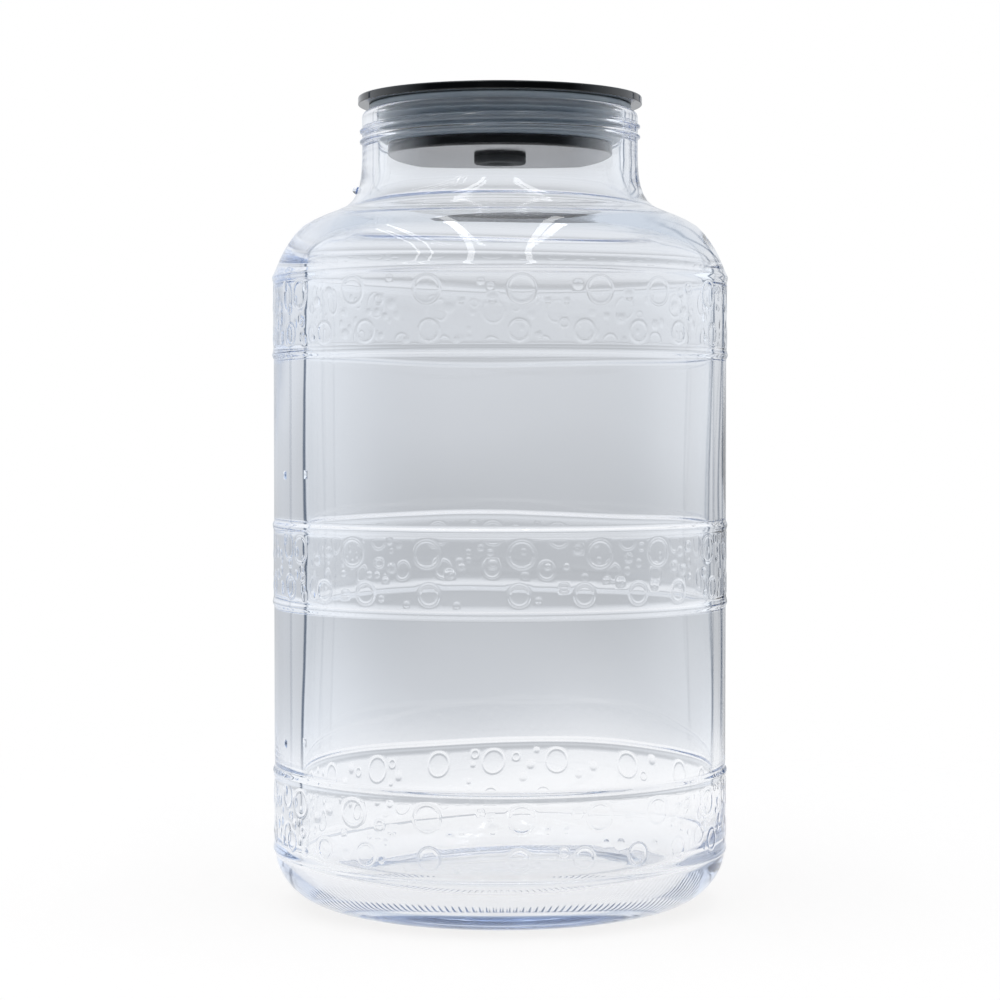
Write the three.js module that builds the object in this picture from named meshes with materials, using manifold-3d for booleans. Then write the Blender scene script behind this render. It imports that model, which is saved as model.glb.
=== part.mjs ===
// A wide-mouth glass carboy of about 1.4 US gallons (5.3 litres), with a push-in lid.
//
// Four separate pieces make it: the blown glass jar, the moulded lid that plugs its neck, the silicone seal
// round the plug, and the rubber grommet in the lid's floor, which takes the stem of an airlock.
//
// Millimetres, +Z up. The origin is the centre of the jar's standing ring, on the table.
import * as THREE from "three";
import { mergeVertices } from "three/addons/utils/BufferGeometryUtils.js";
import Module from "manifold-3d";

// ---------------------------------------------------------------- driving dimensions

// The jar's heights, measured up from the table.
const bandHeight = 32;
const bandPitch = 95.4;
const bandBottoms = [0, 1, 2].map((level) => 21 + level * bandPitch);
const shoulderStart = bandBottoms[2] + bandHeight;
const neckStart = 284;
const lipTop = 307.6;

// The jar's radii.
const bandRadius = 88.2;
const bandBeadRadius = 88.6;
const panelRadius = 88;
const standingRadius = 64;
const neckRadius = 53.6;
const mouthRadius = 48.2;

// The jar's glass.
const panelWall = 8.7;
const floorThickness = 8;
const pushUp = 3;
const cavityRadius = panelRadius - panelWall;

// The screw thread moulded on the neck, for the screw cap that the neck also takes.
const threadPitch = 4;
const threadTurns = 1.7;
const threadMiddle = 298.7;
const threadRidge = 1.3;

// The lid: a flange that overhangs the mouth and a cup that plugs it.
const flangeRadius = 55.2;
const flangeThickness = 3.1;
const plugRadius = 43.9;
const plugWaistRadius = 41.5;
const plugDepth = 19.6;
const lidWall = 2.8;
const plugLipHeight = 4.2;

// The lid's seal: a sleeve round the plug's waist, with fins, and a flange that lies on the jar's lip.
const sealSleeveRadius = 44.3;
const sealFlangeRadius = 51;
const sealFlangeThickness = 2.5;
const finSpacing = 3.6;

// The grommet in the lid's floor.
const grommetFlangeRadius = 10.1;
const grommetFlangeThickness = 2.4;
const grommetBoreRadius = 4.75;
const lidHoleRadius = 7;

// The clearance that pieces keep where one lies round another.
const clearance = 0.3;

// Facets round the axis.
const facets = 48;
const smallFacets = 24;

// Heights that follow from the driving dimensions.
const flangeUnderside = lipTop + sealFlangeThickness;
const lidTop = flangeUnderside + flangeThickness;
const lidFloorUnderside = flangeUnderside - plugDepth;
const lidFloorTop = lidFloorUnderside + lidWall;

// ---------------------------------------------------------------- colours and finishes

const glass = new THREE.MeshStandardMaterial({
  name: "clear_glass",
  color: 0xe4edf2,
  roughness: 0.03,
  metalness: 0,
  transparent: true,
  opacity: 0.35,
});
const blackPlastic = new THREE.MeshStandardMaterial({
  name: "black_lid_plastic",
  color: 0x0b0b0c,
  roughness: 0.12,
  metalness: 0,
});
const silicone = new THREE.MeshStandardMaterial({
  name: "silicone_seal",
  color: 0x9fb0bd,
  roughness: 0.4,
  metalness: 0,
});
const blackRubber = new THREE.MeshStandardMaterial({
  name: "black_rubber",
  color: 0x121212,
  roughness: 0.75,
  metalness: 0,
});

// ---------------------------------------------------------------- joining solids

const wasm = await Module();
wasm.setup();

// A closed three.js geometry as a solid that can be joined to another.
function solidOf(geometry) {
  const bare = geometry.clone();
  bare.deleteAttribute("normal");
  bare.deleteAttribute("uv");
  const merged = mergeVertices(bare, 1e-4);
  return new wasm.Manifold(
    new wasm.Mesh({
      numProp: 3,
      vertProperties: new Float32Array(merged.attributes.position.array),
      triVerts: new Uint32Array(merged.index.array),
    }),
  );
}

// A solid as a three.js geometry again.
function geometryOf(solid) {
  const mesh = solid.getMesh();
  const geometry = new THREE.BufferGeometry();
  geometry.setAttribute("position", new THREE.BufferAttribute(mesh.vertProperties, 3));
  geometry.setIndex(new THREE.BufferAttribute(mesh.triVerts, 1));
  geometry.computeVertexNormals();
  return geometry;
}

// One geometry made of several that run into each other.
function joined(...geometries) {
  const solids = geometries.map(solidOf);
  return geometryOf(solids.reduce((whole, solid) => whole.add(solid)));
}

// A profile of (radius, height) points turned about the Z axis. Lathes turn about Y, so it is stood up.
function turned(points, sides = facets) {
  return new THREE.LatheGeometry(points, sides).rotateX(Math.PI / 2);
}

function named(name, geometry, material) {
  const mesh = new THREE.Mesh(geometry, material);
  mesh.name = name;
  return mesh;
}

const point = (radius, height) => new THREE.Vector2(radius, height);

// Points on a quarter of an ellipse about (radius, height), from one angle to another, in degrees.
function arc(radius, height, across, up, from, to, steps) {
  const turn = (degrees) => (degrees * Math.PI) / 180;
  const curve = new THREE.EllipseCurve(radius, height, across, up, turn(from), turn(to), from > to);
  return curve.getPoints(steps);
}

// ---------------------------------------------------------------- the jar

// One raised band: a rounded bead along each edge, with the band's flat wall between them.
function bandOutline(bottom) {
  const top = bottom + bandHeight;
  return [
    point(panelRadius, bottom),
    point(bandBeadRadius, bottom + 1.3),
    point(bandRadius, bottom + 3),
    point(bandRadius, top - 3),
    point(bandBeadRadius, top - 1.3),
    point(panelRadius, top),
  ];
}

// The outside of the shoulder: a dome that turns over into the foot of the neck.
function outerShoulder() {
  const dome = [
    [panelRadius - 0.4, 1],
    [84.9, 7.6],
    [81.8, 12.9],
    [76.8, 18.7],
    [68.9, 22.9],
    [60, 26.6],
    [55.9, 31.6],
    [54.1, 38.2],
  ];
  const points = dome.map(([radius, rise]) => point(radius, shoulderStart + rise));
  return new THREE.SplineCurve([...points, point(neckRadius, neckStart + 4)]).getPoints(12);
}

// The inside of the shoulder, from the neck down, one wall's thickness inside the dome.
function innerShoulder() {
  const dome = [
    [50.6, 31],
    [55.4, 24],
    [63.2, 18.6],
    [70.6, 14.4],
    [76, 8.6],
    [78.8, 2],
  ];
  const points = dome.map(([radius, rise]) => point(radius, shoulderStart + rise));
  const neck = point(mouthRadius, neckStart + 1);
  return new THREE.SplineCurve([neck, ...points, point(cavityRadius, shoulderStart - 6)]).getPoints(10);
}

// Half of the jar's section, from the axis under the base, up the outside, over the lip and down the inside.
function jarOutline() {
  const heelRise = bandBottoms[0];
  const heelWidth = panelRadius - standingRadius;
  const cavityHeel = 16;
  const cavityFloor = pushUp + floorThickness;
  const lipRound = 2.4;
  return [
    point(0, pushUp),
    point(standingRadius - 12, pushUp),
    point(standingRadius - 7, 0),
    ...arc(standingRadius, heelRise + 1.5, heelWidth, heelRise + 1.5, 270, 350, 9),
    ...bandBottoms.flatMap(bandOutline),
    ...outerShoulder(),
    ...arc(neckRadius - lipRound, lipTop - lipRound, lipRound, lipRound, 0, 90, 3),
    ...arc(mouthRadius + 1.2, lipTop - 1.2, 1.2, 1.2, 90, 180, 2),
    ...innerShoulder(),
    ...arc(cavityRadius - cavityHeel, cavityFloor + cavityHeel, cavityHeel, cavityHeel, 0, -90, 8),
    point(0, cavityFloor),
  ];
}

// The line that the thread's ridge follows: a right-hand helix with its middle at the back of the neck, which
// sinks into the glass at both ends.
class ThreadLine extends THREE.Curve {
  getPoint(along) {
    const angle = (along - 0.5) * threadTurns * 2 * Math.PI + Math.PI / 2;
    const fade = Math.min(1, 10 * Math.min(along, 1 - along));
    const radius = neckRadius - 0.2 - 1.5 * (1 - fade);
    const height = threadMiddle + (along - 0.5) * threadTurns * threadPitch;
    return new THREE.Vector3(radius * Math.cos(angle), radius * Math.sin(angle), height);
  }
}

function threadRidgeSolid() {
  const section = new THREE.Shape().absarc(0, 0, threadRidge, 0, 2 * Math.PI);
  return new THREE.ExtrudeGeometry(section, {
    steps: 60,
    curveSegments: 8,
    extrudePath: new ThreadLine(),
  });
}

// The small glass bead left at the foot of the neck, and the two on the wall that mark fill levels.
function glassBead(radius, degrees, height, size) {
  const angle = (degrees * Math.PI) / 180;
  return new THREE.SphereGeometry(size, 12, 8).translate(
    radius * Math.cos(angle),
    radius * Math.sin(angle),
    height,
  );
}

function carboyBody() {
  const neckBead = glassBead(neckRadius + 1.2, 180, 277.7, 2.3);
  const fillBeads = [65.1, 166.9].map((height) => glassBead(panelRadius - 0.4, 202, height, 1.4));
  return joined(turned(jarOutline()), threadRidgeSolid(), neckBead, ...fillBeads);
}

// ---------------------------------------------------------------- the lid

// Half of the lid's section: the flange, the plug's wall with a lip along its foot, and the floor with its hole.
function lidOutline() {
  const wellRadius = plugWaistRadius - lidWall;
  return [
    point(lidHoleRadius, lidFloorUnderside),
    point(plugRadius - 0.8, lidFloorUnderside),
    point(plugRadius, lidFloorUnderside + 0.8),
    point(plugRadius, lidFloorUnderside + plugLipHeight),
    point(plugWaistRadius, lidFloorUnderside + plugLipHeight),
    point(plugWaistRadius, flangeUnderside),
    point(flangeRadius - 0.5, flangeUnderside),
    ...arc(flangeRadius - 0.5, flangeUnderside + 0.5, 0.5, 0.5, 270, 360, 1),
    ...arc(flangeRadius - 0.8, lidTop - 0.8, 0.8, 0.8, 0, 90, 2),
    ...arc(wellRadius + 1, lidTop - 1, 1, 1, 90, 180, 2),
    ...arc(wellRadius - 2, lidFloorTop + 2, 2, 2, 0, -90, 2),
    point(lidHoleRadius, lidFloorTop),
    point(lidHoleRadius, lidFloorUnderside),
  ];
}

// ---------------------------------------------------------------- the lid's seal

// One wiping fin on the outside of the seal, pointing slightly up.
function sealFin(height) {
  const tip = mouthRadius - clearance;
  return [
    point(sealSleeveRadius, height - 1.1),
    point(tip, height + 0.1),
    point(tip, height + 0.9),
    point(sealSleeveRadius, height + 0.9),
  ];
}

// Half of the seal's section: a sleeve round the plug's waist, three fins, and a flange that lies on the lip.
function sealOutline() {
  const foot = lidFloorUnderside + plugLipHeight + clearance;
  const inner = plugWaistRadius + clearance;
  const finHeights = [0, 1, 2].map((index) => foot + 2 + index * finSpacing);
  return [
    point(inner, foot),
    point(sealSleeveRadius, foot),
    ...finHeights.flatMap(sealFin),
    point(sealSleeveRadius, lipTop),
    point(sealFlangeRadius, lipTop),
    point(sealFlangeRadius, flangeUnderside),
    point(inner, flangeUnderside),
    point(inner, foot),
  ];
}

// ---------------------------------------------------------------- the grommet

// Half of the grommet's section: a flange below and above the lid's floor, and a waist in the hole.
function grommetOutline() {
  const waist = lidHoleRadius - clearance;
  const bottom = lidFloorUnderside - grommetFlangeThickness;
  const top = lidFloorTop + grommetFlangeThickness;
  const bevel = 0.7;
  return [
    point(grommetBoreRadius, bottom),
    point(grommetFlangeRadius - bevel, bottom),
    point(grommetFlangeRadius, bottom + bevel),
    point(grommetFlangeRadius, lidFloorUnderside),
    point(waist, lidFloorUnderside),
    point(waist, lidFloorTop),
    point(grommetFlangeRadius, lidFloorTop),
    point(grommetFlangeRadius, top - bevel),
    point(grommetFlangeRadius - bevel, top),
    point(grommetBoreRadius, top),
    point(grommetBoreRadius, bottom),
  ];
}

// ---------------------------------------------------------------- the assembly

const carboy = new THREE.Group();
carboy.add(
  named("carboy_body", carboyBody(), glass),
  named("lid", turned(lidOutline()), blackPlastic),
  named("lid_seal", turned(sealOutline()), silicone),
  named("airlock_grommet", turned(grommetOutline(), smallFacets), blackRubber),
);

export default carboy;
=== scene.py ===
# %% [markdown]
# # A wide-mouth glass carboy
#
# This lesson makes a small glass carboy for brewing: a blown glass jar with three raised bands of bubbles,
# and a push-in lid with a silicone seal and a rubber grommet. The sizes and places come from a CAD frame,
# which is loaded first and isn't changed. Blender's job is the part that the CAD leaves plain: thick,
# slightly uneven glass that bends what is behind it, crisp relief, and the gloss of moulded plastic.

# %% Load the frame
import math
import random

import bmesh
import bpy
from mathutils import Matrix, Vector


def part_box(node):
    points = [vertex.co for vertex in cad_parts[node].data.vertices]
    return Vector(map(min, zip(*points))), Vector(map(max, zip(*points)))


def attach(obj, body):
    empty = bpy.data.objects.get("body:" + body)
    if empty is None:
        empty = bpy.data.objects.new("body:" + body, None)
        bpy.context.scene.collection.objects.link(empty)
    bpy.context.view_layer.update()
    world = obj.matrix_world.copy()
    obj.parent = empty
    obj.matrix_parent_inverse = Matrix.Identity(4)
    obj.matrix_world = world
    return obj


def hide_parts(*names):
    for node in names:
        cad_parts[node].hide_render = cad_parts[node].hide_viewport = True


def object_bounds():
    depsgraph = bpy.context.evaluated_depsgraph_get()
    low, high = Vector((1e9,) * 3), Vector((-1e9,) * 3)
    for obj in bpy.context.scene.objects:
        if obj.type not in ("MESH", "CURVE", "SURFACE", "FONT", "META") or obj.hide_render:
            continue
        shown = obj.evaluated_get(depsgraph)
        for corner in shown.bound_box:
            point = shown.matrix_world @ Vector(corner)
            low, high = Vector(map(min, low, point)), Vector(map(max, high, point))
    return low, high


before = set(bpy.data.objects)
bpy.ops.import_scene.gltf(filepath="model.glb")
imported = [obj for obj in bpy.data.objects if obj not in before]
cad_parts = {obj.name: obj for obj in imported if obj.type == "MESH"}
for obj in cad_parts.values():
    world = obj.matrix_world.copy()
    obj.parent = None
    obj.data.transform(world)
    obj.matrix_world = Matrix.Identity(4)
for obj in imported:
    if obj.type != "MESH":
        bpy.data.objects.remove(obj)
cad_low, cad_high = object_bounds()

MM = 0.001
print("height of the whole carboy, mm:", round((cad_high.z - cad_low.z) / MM, 1))

# %% [markdown]
# ## The camera
#
# The camera stands about a metre from the jar, a little above its middle, and looks at the middle with a
# long lens. From there the lower bands curve down at the front and the neck's rings curve up. A lens of
# about 100 mm keeps the jar's walls nearly upright.

# %% Place the camera
CAMERA_DISTANCE = 1.053
CAMERA_HEIGHT = 0.186
CAMERA_LENS = 97.0

middle = (cad_low + cad_high) / 2
camera_data = bpy.data.cameras.new("camera")
camera_data.lens = CAMERA_LENS
camera_data.sensor_width = 36.0
camera = bpy.data.objects.new("camera", camera_data)
camera.location = (0, -CAMERA_DISTANCE, CAMERA_HEIGHT)
camera.rotation_euler = (middle - camera.location).to_track_quat("-Z", "Y").to_euler()
bpy.context.scene.collection.objects.link(camera)
bpy.context.scene.camera = camera
print("camera looks down by degrees:", round(90 - math.degrees(camera.rotation_euler.x), 2))

# %% [markdown]
# ## Studio light
#
# Clear glass has hardly any colour of its own, so it is drawn by what it reflects and bends. Long strip
# lights hang overhead, from over the camera to over the jar: a wide one on each side, and a pair of thin
# tubes further left. The rounded edges of the bands mirror them as short bright dashes, and the dome of
# the shoulder as streaks that converge.

# %% Hang the strips
# How far each strip hangs to the right of the jar, and how wide it is, in metres.
STRIPS = {
    "left_strip": (-0.3, 0.07),
    "right_strip": (0.3, 0.07),
    "far_left_tube": (-0.72, 0.025),
    "farther_left_tube": (-0.86, 0.025),
}
STRIP_LENGTH = 1.4
STRIP_MIDDLE = -0.5
STRIP_HEIGHT = 1.35
STRIP_RADIANCE = 4.5

for name, (across, width) in STRIPS.items():
    light = bpy.data.lights.new(name, "AREA")
    light.shape = "RECTANGLE"
    light.size = width
    light.size_y = STRIP_LENGTH
    light.energy = STRIP_RADIANCE * math.pi * width * STRIP_LENGTH
    lamp = bpy.data.objects.new(name, light)
    lamp.location = (across, STRIP_MIDDLE, STRIP_HEIGHT)
    lamp.visible_camera = False
    bpy.context.scene.collection.objects.link(lamp)
    print(name, "watts:", round(light.energy, 2))

# %% [markdown]
# ## The studio round the jar
#
# The background is plain white. Behind the glass, though, a studio is never as bright as the white of the
# paper: the backdrop, seen through two thick layers of glass, comes out a soft grey. So the camera sees a
# white world, while the rays that the glass bends or mirrors see a studio. Its brightness depends on the
# direction round the jar: a wide backdrop behind it, dark gaps where the backdrop ends, paler walls at the
# sides, and a grey room behind the camera, which is unlit above eye level. The gaps are what draw the dark
# lines in the edges of the glass, and the unlit part of the room keeps the black lid black. Overhead is a
# grey ceiling, and underfoot is the white table.

# %% Small functions for nodes and colours
def add_node(tree, kind, inputs=None, **settings):
    """Add a node of one kind with its settings. An input takes a value, or a socket to link from."""
    node = tree.nodes.new(kind)
    for setting, value in settings.items():
        setattr(node, setting, value)
    for socket, value in (inputs or {}).items():
        if isinstance(value, bpy.types.NodeSocket):
            tree.links.new(value, node.inputs[socket])
        else:
            node.inputs[socket].default_value = value
    return node


def linear(hex_colour):
    """An sRGB hex colour, such as 'c8d0d8', as the linear numbers that shaders work in, fully opaque."""
    channels = [int(hex_colour[place:place + 2], 16) / 255 for place in (0, 2, 4)]
    return [c / 12.92 if c <= 0.04045 else ((c + 0.055) / 1.055) ** 2.4 for c in channels] + [1.0]


def set_ramp(ramp_node, stops):
    """Give a colour ramp its stops, as pairs of a place and a colour."""
    elements = ramp_node.color_ramp.elements
    while len(elements) > 1:
        elements.remove(elements[-1])
    elements[0].position, elements[0].color = stops[0]
    for place, colour in stops[1:]:
        elements.new(place).color = colour


# %% Shade the studio by height
# Brightness from straight down, at 0, to straight up, at 1. It is least just under the horizon.
HEIGHT_SHADES = (
    (0.0, 1.0),
    (0.435, 1.0),
    (0.47, 0.70),
    (0.485, 0.76),
    (0.50, 0.87),
    (0.55, 1.04),
    (1.0, 1.04),
)

world = bpy.data.worlds.new("studio")
world.use_nodes = True
bpy.context.scene.world = world
tree = world.node_tree
tree.nodes.clear()
direction = add_node(tree, "ShaderNodeTexCoord")
split = add_node(tree, "ShaderNodeSeparateXYZ", {"Vector": direction.outputs["Generated"]})
rise = add_node(tree, "ShaderNodeMapRange", {"Value": split.outputs["Z"], "From Min": -1.0, "From Max": 1.0})
height_shade = add_node(tree, "ShaderNodeValToRGB", {"Fac": rise.outputs["Result"]})
set_ramp(height_shade, [(place, (grey, grey, grey, 1)) for place, grey in HEIGHT_SHADES])
print("shades by height:", len(HEIGHT_SHADES))

# %% Place the walls round the jar
turn = add_node(tree, "ShaderNodeMath", {0: split.outputs["X"], 1: split.outputs["Y"]}, operation="ARCTAN2")
round_jar = add_node(tree, "ShaderNodeMapRange", {
    "Value": turn.outputs["Value"],
    "From Min": -math.pi,
    "From Max": math.pi,
})
walls = add_node(tree, "ShaderNodeValToRGB", {"Fac": round_jar.outputs["Result"]})
BACKDROP = (0.765, 0.785, 0.815, 1)
BACKDROP_LIT = (0.88, 0.905, 0.94, 1)
GAP = (0.03, 0.07, 0.14, 1)
SIDE_WALL = (0.95, 1.0, 1.06, 1)
DIM_WALL = (0.45, 0.5, 0.56, 1)
ROOM = (0.42, 0.45, 0.49, 1)


def stop(degrees, colour):
    """A stop of the ramp, at an angle from straight behind the jar. Positive is to the right."""
    return (degrees + 180) / 360, colour


set_ramp(walls, [
    stop(-180, ROOM),
    stop(-125, ROOM),
    stop(-105, DIM_WALL),
    stop(-75, SIDE_WALL),
    stop(-50.6, SIDE_WALL),
    stop(-49.4, GAP),
    stop(-47.8, GAP),
    stop(-46.4, BACKDROP),
    stop(-22, BACKDROP_LIT),
    stop(-6, BACKDROP),
    stop(22.2, BACKDROP),
    stop(23.4, GAP),
    stop(26.0, GAP),
    stop(27.4, BACKDROP),
    stop(40.8, BACKDROP),
    stop(42.0, GAP),
    stop(43.4, GAP),
    stop(44.8, SIDE_WALL),
    stop(75, SIDE_WALL),
    stop(105, DIM_WALL),
    stop(125, ROOM),
    stop(180, ROOM),
])
shaded_walls = add_node(tree, "ShaderNodeVectorMath", {
    0: walls.outputs["Color"],
    1: height_shade.outputs["Color"],
}, operation="MULTIPLY")
print("stops round the jar:", len(walls.color_ramp.elements))

# %% Add the ceiling, the table and the unlit part of the room
# Along which axis of the direction each region lies, where it begins and where it is complete.
REGIONS = {
    "overhead": ("Z", 0.25, 0.6),
    "underfoot": ("Z", -0.1, -0.25),
    "towards_camera": ("Y", -0.15, -0.5),
    "above_eye_level": ("Z", 0.05, 0.09),
}

share_of = {}
for name, (axis, begins, complete) in REGIONS.items():
    region = add_node(tree, "ShaderNodeMapRange", {
        "Value": split.outputs[axis],
        "From Min": begins,
        "From Max": complete,
    })
    share_of[name] = region.outputs["Result"]

UNLIT_ROOM = (0.03, 0.034, 0.038, 1)
CEILING = (0.62, 0.68, 0.76, 1)
TABLE = (0.95, 0.96, 0.98, 1)
unlit = add_node(tree, "ShaderNodeMath", {
    0: share_of["towards_camera"],
    1: share_of["above_eye_level"],
}, operation="MULTIPLY")
walls_light = add_node(tree, "ShaderNodeBackground", {"Color": shaded_walls.outputs["Vector"]})
ceiling_light = add_node(tree, "ShaderNodeBackground", {"Color": CEILING})
table_light = add_node(tree, "ShaderNodeBackground", {"Color": TABLE})
unlit_light = add_node(tree, "ShaderNodeBackground", {"Color": UNLIT_ROOM})
room = add_node(tree, "ShaderNodeMixShader", {
    0: unlit.outputs["Value"],
    1: walls_light.outputs[0],
    2: unlit_light.outputs[0],
})
under_ceiling = add_node(tree, "ShaderNodeMixShader", {
    0: share_of["overhead"],
    1: room.outputs[0],
    2: ceiling_light.outputs[0],
})
seen_through_glass = add_node(tree, "ShaderNodeMixShader", {
    0: share_of["underfoot"],
    1: under_ceiling.outputs[0],
    2: table_light.outputs[0],
})
print("regions:", sorted(share_of))

# %% Show white to the camera and the studio to the glass
white_world = add_node(tree, "ShaderNodeBackground", {"Color": (1, 1, 1, 1)})
ray = add_node(tree, "ShaderNodeLightPath")
choice = add_node(tree, "ShaderNodeMixShader", {
    0: ray.outputs["Is Camera Ray"],
    1: seen_through_glass.outputs[0],
    2: white_world.outputs[0],
})
add_node(tree, "ShaderNodeOutputWorld", {"Surface": choice.outputs[0]})
bpy.context.scene.view_settings.view_transform = "Standard"
print("world nodes:", len(tree.nodes))

# %% [markdown]
# Light crosses four faces of glass on its way through the jar. Inside the thick heel it is also mirrored
# from face to face many times before it gets out, and each of those counts as a glossy bounce. So both
# kinds of bounce that Cycles follows are raised. Without that, the heel turns black.

# %% Let light cross many layers
cycles = bpy.context.scene.cycles
cycles.max_bounces = 40
cycles.transmission_bounces = 32
cycles.glossy_bounces = 32
cycles.transparent_max_bounces = 12
cycles.use_denoising = True
print("bounces:", cycles.max_bounces)

# %% [markdown]
# ## Modelling helpers
#
# Nearly everything here is round, so most pieces start as half of their section, drawn as a chain of
# edges, and are spun round the axis. By hand that is a vertex that is extruded from point to point, then
# the Spin tool.

# %% Draw half a section and spin it
def start_object(name):
    """Name the active object and its mesh, and open it in edit mode, ready to select vertices."""
    piece = bpy.context.object
    piece.name = name
    piece.data.name = name
    bpy.ops.object.mode_set(mode="EDIT")
    bpy.ops.mesh.select_mode(type="VERT")
    return piece


def draw_chain(name, points):
    """Extrude one vertex along (radius, height) points, in millimetres, in the plane y = 0."""
    bpy.ops.object.select_all(action="DESELECT")
    bpy.ops.mesh.primitive_plane_add(size=MM)
    piece = start_object(name)
    bpy.ops.mesh.select_all(action="SELECT")
    bpy.ops.mesh.merge(type="CENTER")
    spots = [Vector((radius * MM, 0, height * MM)) for radius, height in points]
    bpy.ops.transform.translate(value=tuple(spots[0]))
    for here, there in zip(spots, spots[1:]):
        bpy.ops.mesh.extrude_vertices_move(TRANSFORM_OT_translate={"value": tuple(there - here)})
    bpy.ops.object.mode_set(mode="OBJECT")
    return piece


def spin_round(piece, steps):
    """Spin a chain of edges once round the upright axis and close the seam and the poles."""
    bpy.ops.object.select_all(action="DESELECT")
    bpy.context.view_layer.objects.active = piece
    piece.select_set(True)
    bpy.ops.object.mode_set(mode="EDIT")
    bpy.ops.mesh.select_all(action="SELECT")
    bpy.ops.mesh.spin(steps=steps, angle=2 * math.pi, center=(0, 0, 0), axis=(0, 0, 1))
    bpy.ops.mesh.select_all(action="SELECT")
    bpy.ops.mesh.remove_doubles(threshold=0.002 * MM)
    bpy.ops.mesh.normals_make_consistent(inside=False)
    bpy.ops.object.mode_set(mode="OBJECT")
    return piece


def join(pieces, name):
    """Join objects into one and weld the vertices that meet."""
    bpy.ops.object.select_all(action="DESELECT")
    for piece in pieces:
        piece.select_set(True)
    bpy.context.view_layer.objects.active = pieces[0]
    bpy.ops.object.join()
    whole = start_object(name)
    bpy.ops.mesh.select_all(action="SELECT")
    bpy.ops.mesh.remove_doubles(threshold=0.02 * MM)
    bpy.ops.object.mode_set(mode="OBJECT")
    return whole


# %% Draw rounded stretches
# How far from a rounded corner its two extra points lie, in millimetres.
HOLD = 0.15


def arc(radius, height, across, up, start, end, steps):
    """Points along part of an ellipse about (radius, height). Angles are in degrees, 0 outwards and 90 up."""
    angles = [math.radians(start + (end - start) * step / steps) for step in range(steps + 1)]
    return [(radius + across * math.cos(angle), height + up * math.sin(angle)) for angle in angles]


def held_arc(radius, height, size, start, end, steps):
    """A rounded corner with a point close before and after it, so that shading keeps its neighbours flat."""
    corner = arc(radius, height, size, size, start, end, steps)
    onwards = HOLD if end > start else -HOLD
    before, after = math.radians(start), math.radians(end)
    (first_radius, first_height), (last_radius, last_height) = corner[0], corner[-1]
    return [
        (first_radius + onwards * math.sin(before), first_height - onwards * math.cos(before)),
        *corner,
        (last_radius - onwards * math.sin(after), last_height + onwards * math.cos(after)),
    ]


def smooth_through(points, steps):
    """A smooth curve through the points (Catmull-Rom), with so many steps from each point to the next."""
    padded = [points[0], *points, points[-1]]
    curve = []
    for first, second, third, fourth in zip(padded, padded[1:], padded[2:], padded[3:]):
        for step in range(steps):
            t = step / steps
            curve.append(tuple(
                0.5 * (
                    2 * b + (c - a) * t
                    + (2 * a - 5 * b + 4 * c - d) * t * t
                    + (3 * b - a - 3 * c + d) * t ** 3
                )
                for a, b, c, d in zip(first, second, third, fourth)
            ))
    return [*curve, points[-1]]


# %% Measure a mesh
def open_edges(piece):
    """How many edges of a piece don't lie between exactly two faces. A closed piece has none."""
    mesh = bmesh.new()
    mesh.from_mesh(piece.data)
    count = sum(len(edge.link_faces) != 2 for edge in mesh.edges)
    mesh.free()
    return count


def triangles(piece):
    """How many triangles a piece has once its faces are split into them."""
    return sum(len(face.vertices) - 2 for face in piece.data.polygons)


# %% [markdown]
# ## The jar's measurements
#
# The jar is made in a mould, so its outside is crisp: a rounded heel, three bands that stand a little
# proud of the panels between them, a domed shoulder and a short neck. All heights are above the table and
# all sizes are in millimetres. The widest radius and the lip's height are read from the frame.

# %% Measure the jar
_, jar_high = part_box("carboy_body")
BEAD_RADIUS = jar_high.x / MM
LIP_TOP = jar_high.z / MM
BAND_RADIUS = BEAD_RADIUS - 0.4
PANEL_RADIUS = BEAD_RADIUS - 0.6
BAND_HEIGHT = 32
BAND_BOTTOMS = [21 + level * 95.4 for level in range(3)]
BAND_TOPS = [bottom + BAND_HEIGHT for bottom in BAND_BOTTOMS]
SHOULDER_START = BAND_TOPS[-1]
STANDING_RADIUS = 64
PUSH_UP = 3
NECK_RADIUS = 53.6
MOUTH_RADIUS = 48.2
CAVITY_RADIUS = 79.3
CAVITY_FLOOR = 11

# The bubble pattern is laid out on a sheet of square cells, this many round the jar and this many high.
COLUMNS = 320
PATTERN_ROWS = 15
CELL = 2 * math.pi * BAND_RADIUS / COLUMNS
PATTERN_HEIGHT = PATTERN_ROWS * CELL
BAND_MARGIN = (BAND_HEIGHT - PATTERN_HEIGHT) / 2
print("widest radius, mm:", round(BEAD_RADIUS, 2), "lip height, mm:", round(LIP_TOP, 2))
print("one cell of the bubble pattern, mm:", round(CELL, 3))

# %% [markdown]
# ## The bubble relief
#
# Each band carries a raised pattern of fizz: a row of large rings near its top, a row of smaller ones near
# its bottom, and little bubbles between. It could be drawn as a bump in the material, but glass shows
# relief by bending light at its edges and outline, so it has to be geometry. It could also be cut with
# booleans, which leave long thin faces that glass shows as creases.
#
# Here it is made as a tiler would: a flat sheet of square cells, with some squares of it swapped for tiles
# that hold a ring or a bubble. A tile starts as the outline of its square, which is extruded inwards: each
# new loop is drawn in to a circle and lifted, until the last is filled. Its rim keeps one vertex for each
# cell it touches, so it welds to the sheet with no gap. Then the sheet is rolled up into a band.

# %% Make a tile
def select_vertices(piece, wanted):
    """In edit mode, select just the vertices that the test wants."""
    bpy.ops.mesh.select_mode(type="VERT")
    bpy.ops.mesh.select_all(action="DESELECT")
    mesh = bmesh.from_edit_mesh(piece.data)
    for vertex in mesh.verts:
        vertex.select = wanted(vertex)
    mesh.select_flush_mode()


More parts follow.
